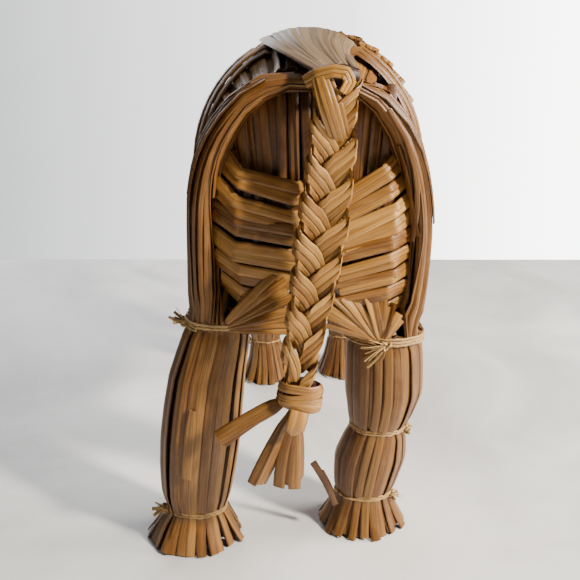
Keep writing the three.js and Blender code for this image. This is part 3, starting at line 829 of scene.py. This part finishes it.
def build_haunch(side, sign):
    """A thigh wound with flat strips of two straws each, which slope down towards the middle."""
    name = f"haunch_wrap_{side}"
    low, high = box(name)
    bundle = Bundle(name, planes_along(name, -Z, 30, STRIP_TRIM), X)
    pile = Pile(name + "_straws")
    pile.core(bundle, 3.4 * MM, 0.22, 0.97)
    # An under-layer in painted shade, which shows between the strips.
    lay(pile, bundle, 20, 2.6 * MM, first=0.2, tone=HAUNCH_GAP_SHADE_TONE, width=4.2 * MM)
    strips, pitch, first_slope, last_slope, outer_drop = STRIPS[side]
    height = high[2] - low[2] - 2 * STRIP_TRIM
    for strip in range(strips):
        share = strip / (strips - 1)
        slope = first_slope + (last_slope - first_slope) * min(1, 1.5 * share) + pile.dice.uniform(-3.5, 3.5)
        drop = (high[0] - low[0]) * 0.75 * tan(radians(slope))
        top = high[2] - 1.5 * MM - pitch * strip
        depth = -1.0 * MM - pile.dice.uniform(0, 0.9) * MM
        tone = pile.dice.gauss(0.5, 0.2)
        for half in (0, 1):
            bends = []
            for bend, fallen in zip(STRIP_BENDS, (-0.1, 0, outer_drop, 0.92, 1)):
                turn = pi * (1.5 + sign * (bend + pile.dice.uniform(-0.03, 0.03)))
                z = top - drop * fallen - half * 0.43 * pitch * (0.75 + 0.25 * fallen)
                bends.append(bundle.spot((high[2] - STRIP_TRIM - z) / height, turn, depth))
            points, normals = [], []
            for (start, start_out), (end, end_out) in zip(bends, bends[1:]):
                for t in (0, 0.06, 0.35, 0.65, 0.94):
                    points.append(start + (end - start) * t)
                    normals.append(unit(start_out + end_out + 0.25 * (end_out - start_out) * (2 * t - 1)))
            tint = (tone + pile.dice.gauss(0, 0.12), pile.dice.random(), 0.0)
            pile.straw(points, normals, width=0.5 * pitch, thick=1.1 * MM, tilt=sign * 0.2, tone=tint)
    pile.make("straw_pale", "goat", name)


def build_rump_panel():
    """Upright straws in the hollow above the thighs, which end inside the arches. Their material and their
    added darkness are painted shade of the hollow, the more towards the middle, where the tail's shadow
    falls.
    """
    name = "rump_panel"
    low, high = box(name)
    back = Surface(name)
    roof = Surface("rump_arch_left", "rump_arch_right")
    roof_y = middle("rump_arch_left")[1]
    centre = (low + high) / 2
    half = (high[0] - low[0]) / 2 + 6 * MM
    pile = Pile(name + "_straws")
    for layer, count in ((0, 17), (1, 15)):
        for i in range(count):
            share = (i + pile.dice.uniform(0.3, 0.7)) / count * 2 - 1
            foot_x = centre[0] + share * half * 0.92
            top_x = foot_x + share * 5 * MM + pile.dice.uniform(-1.5, 1.5) * MM
            arch, _ = roof.drape((top_x, roof_y, 0), -Z)
            top_z = high[2] if arch is None else arch[2] - 3 * MM
            points = []
            for t in np.linspace(0, 1, 9):
                z = low[2] + (top_z - low[2]) * t
                place, _ = back.drape((centre[0], 0, min(max(z, low[2] + MM), high[2] - MM)), Y)
                bow = 5 * MM * share * share - layer * 0.7 * MM - 1.2 * MM * sin(pi * t)
                points.append([foot_x + (top_x - foot_x) * t, place[1] + bow, z])
            facing = unit(np.array([0.5 * share, -1, 0.1]))
            width = pile.dice.uniform(3.2, 4.8) * MM
            # Painted shadow: darker towards the middle, where the tail's shadow falls.
            dark = 0.25 * (1 - abs(share))
            pile.straw(points, facing, width=width, tilt=pile.dice.gauss(0, 0.3), dark=dark)
    pile.make("straw_dark", "goat", name)


# For each side: straws, the range of their slopes, and the lengths of the first and the last.
HIP_FANS = {"left": (9, 0, 44, 35 * MM, 28 * MM), "right": (13, 18, 122, 27 * MM, 13 * MM)}


def build_hip_fan(side, sign):
    """Loose straws that spread from the hip tie towards the middle of the rump."""
    name = f"hip_fan_{side}"
    leg = leg_bundles[f"hind_leg_{side}"]
    tie_s = leg.share_at(middle(f"hip_tie_{side}")[2], Z)
    pile = Pile(name + "_straws")
    start = leg.at(tie_s, pi * 1.5, 1.2 * MM) - sign * 2 * MM * X
    count, first, last, long, short = HIP_FANS[side]
    for i in range(count):
        share = i / (count - 1)
        angle = radians(first + (last - first) * share + pile.dice.uniform(-3, 3))
        length = (long + (short - long) * share) * pile.dice.uniform(0.9, 1.1)
        heading = -sign * X * cos(angle) + Z * sin(angle)
        points = []
        for t in np.linspace(0, 1, 9):
            bow = Z * 1.2 * MM * sin(3 * t) - Y * (1.2 * MM * t + 1.5 * MM * sin(pi * t))
            points.append(start + heading * length * t + bow)
        width = pile.dice.uniform(2.6, 3.8) * MM
        pile.straw(points, 0.3 * Z - Y, width=width, tilt=pile.dice.gauss(0, 0.4), ends=(0.45, 1))
    pile.make("straw_pale", "goat", name)


build_body()
build_girth("girth_band_rear")
build_girth("girth_band_front")
build_back_fan()
build_rump_panel()
for side, sign in (("left", -1), ("right", 1)):
    build_arch("rump", side, sign, f"hind_leg_{side}")
    build_arch("shoulder", side, sign, f"front_leg_{side}")
    build_haunch(side, sign)
    build_hip_fan(side, sign)


# ---- plaits: the tail and the horns

# How far a plait's line is carried on past its two ends, and the share of its width that it narrows to.
PLAIT_START = (5 * MM, 0.75)
PLAIT_END = (9 * MM, 0.5)


class Plait:
    """The line of a flat plait of three strands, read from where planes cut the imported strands.

    A strand's phase turns once in a period, and is at a quarter turn when the strand is at one edge."""

    def __init__(self, names, planes, face):
        surfaces = [Surface(name) for name in names]
        centres = []
        for origin, normal, keep in planes:
            cuts = [surface.section(origin, normal, keep) for surface in surfaces]
            if min(len(cut) for cut in cuts) >= 4:
                centres.append([(cut.min(axis=0) + cut.max(axis=0)) / 2 for cut in cuts])
        centres = np.array(centres)
        self.middle = centres.mean(axis=1)
        self.ahead = unit(np.gradient(self.middle, axis=0))
        self.across = unit(np.cross(face, self.ahead))
        self.face = np.cross(self.ahead, self.across)
        sway = np.einsum("nsk,nk->ns", centres - self.middle[:, None], self.across)
        self.width = np.sqrt(2 / 3 * (sway ** 2).sum(axis=1))
        first, second, third = sway.T
        turned = np.unwrap(np.arctan2(first, (second - third) / sqrt(3)))
        self.handed = 1 if turned[-1] > turned[0] else -1
        self.phase = turned * self.handed
        self.period = 2 * pi * path_length(self.middle) / (self.phase[-1] - self.phase[0])
        self.carry_on(0, -1, *PLAIT_START)
        self.carry_on(-1, 1, *PLAIT_END)

    def carry_on(self, end, way, length, narrow):
        """Carries the line on past one end, where it draws in to some share of its width."""
        place = self.middle[end] + way * length * self.ahead[end]
        phase = self.phase[end] + way * 2 * pi * length / self.period
        at = 0 if end == 0 else len(self.phase)
        carried = {"middle": place, "phase": phase, "width": self.width[end] * narrow,
                   "ahead": self.ahead[end], "across": self.across[end], "face": self.face[end]}
        for label, value in carried.items():
            setattr(self, label, np.insert(getattr(self, label), at, value, axis=0))

    def at(self, phase, rows):
        return np.stack([np.interp(phase, self.phase, rows[:, i]) for i in range(3)], axis=1)


PLAIT_REACH = 1.5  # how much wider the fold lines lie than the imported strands' middles
FOLD = 0.16  # the part of its phase in which a strand folds over
FOLD_STEPS = np.concatenate([np.linspace(0, FOLD, 5), np.linspace(0.3, pi - 0.3, 9),
                             np.linspace(pi - FOLD, pi, 4, endpoint=False)])


def strand_phases(first, last):
    """The phases at which a strand gets points: close together at its folds, and sparse between them."""
    half_turns = np.arange(floor(first / pi - 0.5), ceil(last / pi + 0.5))
    folds = half_turns * pi + pi / 2
    phases = (folds[:, None] + FOLD_STEPS[None]).ravel()
    return phases[(phases > first) & (phases < last)]


def lay_strand(pile, line, index, straws, depth):
    """One strand of a plait: a flat ribbon of straws that is folded over at the plait's edges."""
    lag = index * 2 * pi / 3 * line.handed
    phases = strand_phases(line.phase[0] + lag, line.phase[-1] + lag)
    along = phases - lag
    out = line.at(along, line.face)
    width = np.interp(along, line.phase, line.width)
    since_fold = (phases - pi / 2) % pi
    edge = np.arcsin(np.sin(phases)) * 2 / pi
    uneven = 1 + 0.08 * np.sin(np.floor(phases / pi) * 2.3 + index)
    sideways = line.at(along, line.across) * (edge * width * PLAIT_REACH * uneven)[:, None]
    folded = np.minimum(1, 0.25 + 0.75 * np.minimum(since_fold, pi - since_fold) / FOLD)
    sink = depth * (1 - 2 * since_fold / pi) * folded
    path = line.at(along, line.middle) + out * sink[:, None] + sideways
    narrow = np.minimum(1, 1.8 * width / line.width.max())[:, None]
    breadth = (line.at(along, line.ahead) * line.period / 6 * 1.02 - out * depth * 0.55) * narrow
    up = unit(np.cross(breadth, np.gradient(path, axis=0)))
    tone = pile.dice.gauss(0.5, 0.1)
    for i in range(straws):
        offset = (2 * i + 1) / straws - 1
        tint = (tone + pile.dice.gauss(0, 0.16), pile.dice.random(), 0.0)
        crown = up * (0.25 * MM * (1 - offset * offset))
        drawn_in = sideways * (0.3 * offset * offset * np.abs(edge) ** 4)[:, None]
        pile.strip(path - drawn_in + breadth * offset + crown, breadth * 1.05 / straws, up, 0.75 * MM, tint,
                   shade=RIBBON_SHADE)


def build_plait(names, planes, face, body_name, straws, depth):
    """A flat plait of three strands. depth is how far a strand sinks from one fold to the next."""
    line = Plait(names, planes, face)
    for index, name in enumerate(names):
        pile = Pile(name + "_straws")
        lay_strand(pile, line, index, straws, depth)
        pile.make("straw_pale", body_name, name)


def build_tail_plait():
    names = [f"tail_strand_{i}" for i in (1, 2, 3)]
    build_plait(names, planes_along(names[0], -Z, 120, 0.3 * MM), -Y, "tail", 4, 2.3 * MM)


def build_horn(side, sign):
    """A horn's plait, which turns about a pivot at the height where it leaves the head."""
    names = [f"horn_{side}_strand_{i}" for i in (1, 2, 3)]
    low, high = box(names[0])
    pivot = np.array([middle(names[0])[0], high[1] - 3 * MM, low[2] - 1 * MM])
    inward = -sign * X - 0.35 * Y - 0.5 * Z
    build_plait(names, arc_planes(names[0], pivot, Z, -Y, 110, 0.01), inward, "goat", 3, 1.5 * MM)


build_tail_plait()
build_horn("left", -1)
build_horn("right", 1)


# ---- the rest of the tail

# Each ribbon's bends, across, out and up from the root's middle in half sizes of the root, its width and
# its tone.
ROOT_RIBBONS = (
    (((0.8, 0.2, -0.45), (0.7, 0.8, -0.85), (0.35, 1.0, -1.3), (0.0, 0.9, -1.9)), 4.2 * MM, 0.4),
    (((-1.1, 0.2, -0.35), (-0.75, 0.7, 0.05), (-0.15, 0.95, 0.3), (0.28, 1.0, 0.2), (0.42, 1.1, -0.3),
      (0.2, 1.2, -0.95)), 4 * MM, 0.7),
)


def build_root_wrap():
    """Two flat ribbons folded over the tail's root. The wider one comes down its right side. The other runs
    across it, round the right side, and down in front."""
    name = "tail_root_wrap"
    low, high = box(name)
    centre, half = (low + high) / 2, (high - low) / 2
    pile = Pile(name + "_straws")
    pile.core(Bundle(name, planes_along(name, X, 10, MM), Z), 1.4 * MM, 0.05, 0.95, steps=10, sides=12)
    for bends, width, tone in ROOT_RIBBONS:
        corners = [centre + np.array([x, -y, z]) * half for x, y, z in bends]
        points = [point for start, end in zip(corners, corners[1:]) for point in between(start, end, 5)[:4]]
        normals = unit((np.array(points) - centre) / half ** 1.5)
        points, normals = np.array([*points, corners[-1]]), np.array([*normals, normals[-1]])
        sideways = unit(np.cross(normals, np.gradient(points, axis=0)))
        for part in (-1, 0, 1):
            tint = (tone + 0.1 * part, pile.dice.random(), 0)
            path = points + sideways * part * width / 3
            pile.straw(path, normals, width=width * 0.36, thick=0.9 * MM, tone=tint)
    pile.make("straw_pale", "tail_root", name)


def build_first_fold():
    """The plait's first crossing, a wide ribbon of straws that comes out from under the root's wrap."""
    low, high = box("tail_root_wrap")
    centre, half = (low + high) / 2, (high - low) / 2
    start = centre + half * (-0.55, -0.85, -0.05)
    end = centre + half * (0.2, -0.35, -3.9)
    sideways = unit(np.cross(-Y, end - start))
    pile = Pile("tail_first_fold")
    for part in (-2, -1, 0, 1, 2):
        points = []
        for t in np.linspace(0, 1, 12):
            bulge = sin(pi * t)
            spread = sideways * part * 1.45 * MM * (0.75 + 0.25 * bulge)
            rise = Y * 1.6 * MM * (2.2 * bulge - 0.12 * part * part)
            points.append(start + (end - start) * t + spread - rise)
        tone = (0.55 + 0.12 * sin(2.4 * part), 0.4, 0.0)
        pile.straw(points, -Y, width=1.9 * MM, thick=0.8 * MM, tilt=0.1, tone=tone)
    pile.make("straw_pale", "tail")


def build_tail_end_wrap():
    """The binding at the plait's lower end, and the wide straw that is folded down in front of it."""
    wrap = Bundle("tail_end_wrap", planes_along("tail_end_wrap", -Z, 12), X)
    pile = Pile("tail_end_wrap_straws")
    pile.core(wrap, 1.6 * MM, 0.05, 0.95, sides=14)
    for turn, (top, slant) in enumerate(((0.24, 0.06), (0.42, -0.05), (0.6, 0.04), (0.72, 0.1))):
        points, normals = [], []
        for angle in np.linspace(turn, turn + 2 * pi + 0.6, 30):
            points.append(wrap.at(top + slant * sin(angle + 1), angle, -0.25 * MM * turn))
            normals.append(wrap.out(top, angle))
        pile.straw(points, normals, width=3.4 * MM, tone=(0.42 + 0.07 * turn, 0.5, 0.0))
    low, _ = box("tail_end_wrap")
    knot_top = np.array([middle("tail_end_wrap")[0] - 1.5 * MM, low[1] - 0.6 * MM, low[2] + 4 * MM])
    points = [knot_top + X * (1.5 - 2.5 * t) * MM - Z * 9 * MM * t - Y * 1.6 * MM * sin(3 * t)
              for t in np.linspace(0, 1, 9)]
    pile.straw(points, 0.2 * X - Y, width=7 * MM, thick=1.2 * MM, tone=(0.6, 0.5, 0.0), ends=(1, 0.3))
    pile.make("straw_pale", "tail", "tail_end_wrap")


def build_tail_tuft():
    """The plait's ends below its binding, in a narrow lock to the left and a wide one to the right."""
    low, high = box("tail_tuft")
    pile = Pile("tail_tuft_straws")
    top = middle("tail_tuft")
    top = np.array([top[0] + 4 * MM, top[1], high[2] + 2 * MM])
    for centre_x, spread, count in ((low[0] + 0.5 * MM, 4.5 * MM, 5), (high[0] - 8 * MM, 8.5 * MM, 9)):
        for i in range(count):
            share = (i + 0.5) / count - 0.5
            deep = (i % 3 - 1) * 1.8 * MM
            foot_z = low[2] + pile.dice.uniform(-0.5, 2.5) * MM
            foot = np.array([centre_x + spread * share, top[1] + deep, foot_z])
            points = [top + (foot - top) * t + X * 2 * MM * share * sin(pi * t) + Y * deep * 0.3
                      for t in np.linspace(0, 1, 9)]
            width = pile.dice.uniform(3.2, 4.6) * MM
            pile.straw(points, 0.5 * share * X - Y, width=width, thick=1.2 * MM,
                       tilt=pile.dice.gauss(0, 0.3), ends=(0.5, 1))
    pile.make("straw_golden", "tail", "tail_tuft")


def build_tail_stray_straw():
    """The end that sticks out to the left of the tuft: a wide straw and a narrow one."""
    low, high = box("tail_stray_straw")
    depth = (low[1] + high[1]) / 2
    pile = Pile("tail_stray_straw_straws")
    start = np.array([high[0] + 3 * MM, depth, high[2]])
    end = np.array([low[0] + 2 * MM, depth, low[2] + 3 * MM])
    for part in (0, 1):
        points = []
        for t in np.linspace(0, 1, 10):
            sag = 0.5 * sin(pi * t) - 3.0 * part * t
            along = (end - start) * t * (1 - 0.06 * part)
            points.append(start + along + Z * sag * MM + Y * 0.8 * MM * part)
        pile.straw(points, 0.4 * Z - Y, width=(5.8 - 1.6 * part) * MM, thick=1.1 * MM, tilt=0.1,
                   ends=(0.35, 1))
    pile.make("straw_golden", "tail", "tail_stray_straw")


def build_broken_straw():
    """A split straw that leans out from the right hind foot."""
    low, high = box("broken_straw")
    pile = Pile("broken_straw_straws")
    start = np.array([high[0], (low[1] + high[1]) / 2 + 1 * MM, low[2]])
    end = np.array([low[0], (low[1] + high[1]) / 2, high[2]])
    for part in (0, 1):
        tip = end - (end - start) * 0.22 * part + X * 1.5 * MM * part
        points = [start + (tip - start) * t + X * 0.7 * MM * sin(pi * t) + Y * part * MM
                  for t in np.linspace(0, 1, 8)]
        pile.straw(points, -Y, width=2.8 * MM, tilt=0.3 - part, tone=(0.1 + 0.2 * part, 0.3, 0.1))
    pile.make("straw_dark", "goat", "broken_straw")


build_root_wrap()
build_first_fold()
build_tail_end_wrap()
build_tail_tuft()
build_tail_stray_straw()
build_broken_straw()


# ---- neck, head, ears and beard

def build_simple(name, planes, slot, depth=0.5, ragged=0.02, across=X, width=None, tie=None):
    """A small bundle of straws, with its own tie of twine if it has one."""
    bundle = Bundle(name, planes, across)
    pinch = []
    if tie:
        gaps = np.linalg.norm(bundle.centres - middle(tie), axis=1)
        s_tie = float(np.argmin(gaps)) / (bundle.count - 1)
        pinch = [(s_tie, 0.8 * MM, TIE_LENGTH / bundle.length())]
    pile = Pile(name + "_straws")
    pile.core(bundle, (depth + 1.5) * MM, 0.03, 0.97, sides=20)
    count = max(5, round(bundle.girth(0.5) / ((width or STRAW_WIDTH) * 0.86)))
    lay(pile, bundle, count, (depth + 0.9) * MM, ragged=ragged, pinch=pinch, width=width)
    lay(pile, bundle, count, depth * MM, ragged=ragged, pinch=pinch, width=width)
    pile.make(slot, "goat", name)
    if tie:
        cord = Pile(tie + "_twine")
        wind(cord, bundle, s_tie, 0.8 * MM, 2.3, 1.0)
        cord.make("twine", "goat", tie)


def build_neck():
    low, high = box("neck_bundle")
    pivot = np.array([middle("neck_bundle")[0], low[1], high[2] + 50 * MM])
    build_simple("neck_bundle", arc_planes("neck_bundle", pivot, -Z, Y), "straw_golden", tie="neck_tie")


def build_head():
    """The head, read along the line that slants down to its muzzle, and the beard below it."""
    low, high = box("head_bundle")
    axis = unit(np.array([0.045, high[1] - low[1], low[2] - high[2]]))
    centre = (low + high) / 2
    spread = (Surface("head_bundle").points - centre) @ axis
    planes = planes_between(centre + axis * (spread.min() + 1 * MM),
                            centre + axis * (spread.max() - 1 * MM), axis, 22)
    build_simple("head_bundle", planes, "straw_golden", tie="muzzle_tie")
    build_simple("beard", planes_along("beard", -Z, 16), "straw_pale", depth=0.3, ragged=0.06, width=3 * MM,
                 tie="beard_tie")


def build_ear(side, sign):
    """An ear, read from where it leaves the head to its tip, which points out, back and down."""
    name = f"ear_{side}"
    low, high = box(name)
    near_x, far_x = (high[0], low[0]) if sign < 0 else (low[0], high[0])
    inner = np.array([near_x, high[1] - 3 * MM, high[2] - 3 * MM])
    outer = np.array([far_x, low[1] + 2 * MM, low[2] + 2 * MM])
    axis = unit(outer - inner)
    planes = planes_between(inner + axis * MM, outer - axis * 2 * MM, axis, 12)
    build_simple(name, planes, "straw_pale", depth=0.1, across=Y, width=2.6 * MM)


build_neck()
build_head()
build_ear("left", -1)
build_ear("right", 1)


# ---- floor, backdrop, light and camera

def stone_material(name, colour, second, scale, roughness):
    material, tree, shader = new_material(name)
    place = make_node(tree, "ShaderNodeTexCoord").outputs["Object"]
    noise = make_node(tree, "ShaderNodeTexNoise", Scale=scale, Detail=6.0, Roughness=0.6, Distortion=0.8,
                      Vector=place)
    cloud = ramp(tree, noise.outputs["Fac"], [(0.35, second), (0.62, colour)])
    fill(tree, shader, Roughness=roughness, **{"Base Color": cloud})
    return material


FLOOR_REACH = 3.0  # to either side of the goat, and behind the camera
FLOOR_BEYOND = 0.16  # from the goat's front to the floor's far edge, where the photo's horizon lies


def build_floor():
    far = cad_box[1][1] + FLOOR_BEYOND
    corners = [(-FLOOR_REACH, -FLOOR_REACH, 0), (FLOOR_REACH, -FLOOR_REACH, 0),
               (FLOOR_REACH, far, 0), (-FLOOR_REACH, far, 0)]
    mesh = bpy.data.meshes.new("floor")
    mesh.from_pydata(corners, [], [[0, 1, 2, 3]])
    mesh.materials.append(stone_material("stone_floor", (0.74, 0.74, 0.73), (0.5, 0.5, 0.5), 6.0, 0.45))
    add_object("floor", mesh)


def area_light(name, place, target, size, power, colour):
    data = bpy.data.lights.new(name, "AREA")
    data.shape = "DISK"
    data.size = size
    data.energy = power
    data.color = colour
    lamp = add_object(name, data)
    lamp.location = place
    lamp.rotation_euler = (Vector(target) - Vector(place)).to_track_quat("-Z", "Y").to_euler()


def build_room():
    """A pale room, brighter to the right as painted light from that side. It is dimmer as a light than as a
    backdrop.
    """
    world = bpy.data.worlds.new("room")
    world.use_nodes = True
    tree = world.node_tree
    glow = fill(tree, tree.nodes["Background"], Color=(0.9, 0.95, 1.0, 1), Strength=0.08)
    way = make_node(tree, "ShaderNodeTexCoord").outputs["Generated"]
    split = make_node(tree, "ShaderNodeSeparateXYZ", Vector=way)
    across = make_node(tree, "ShaderNodeMapRange", Value=split.outputs[0],
                       **{"From Min": -0.4, "From Max": 0.4})
    stops = [(0.0, (0.13, 0.134, 0.134)), (0.6, (0.36, 0.365, 0.36)), (1.0, (1, 1, 0.98))]
    pale = ramp(tree, across.outputs[0], stops)
    backdrop = make_node(tree, "ShaderNodeBackground", Strength=8.0, Color=pale)
    seen = make_node(tree, "ShaderNodeLightPath").outputs["Is Camera Ray"]
    choice = make_node(tree, "ShaderNodeMixShader")
    for source, socket in zip((seen, glow.outputs[0], backdrop.outputs[0]), choice.inputs):
        tree.links.new(source, socket)
    fill(tree, tree.nodes["World Output"], Surface=choice.outputs[0])
    bpy.context.scene.world = world


CAMERA_PLACE = (-0.005, -0.345, 0.193)
CAMERA_PITCH = 19.3  # degrees down from level
CAMERA_LENS = 43.4  # mm, on a sensor 36 mm wide


def build_camera():
    data = bpy.data.cameras.new("camera")
    data.sensor_width = 36
    data.lens = CAMERA_LENS
    camera = add_object("camera", data)
    camera.location = CAMERA_PLACE
    camera.rotation_euler = (radians(90 - CAMERA_PITCH), 0, 0)
    bpy.context.scene.camera = camera


build_floor()
area_light("key", (0.69, -0.5, 0.64), (0, -0.06, 0.1), 0.1, 24.0, (1.0, 0.9, 0.76))
area_light("window", (0.8, 0.0, 0.5), (0.05, 0.05, 0.1), 0.4, 14.0, (1.0, 0.97, 0.92))
area_light("top", (-0.15, 0.2, 1.2), (0, 0.1, 0.1), 0.8, 3.2, (0.97, 0.98, 1.0))
area_light("front", (-0.45, 1.0, 0.5), (0, 0.1, 0.1), 0.8, 9.0, (0.97, 0.98, 1.0))
build_room()
build_camera()
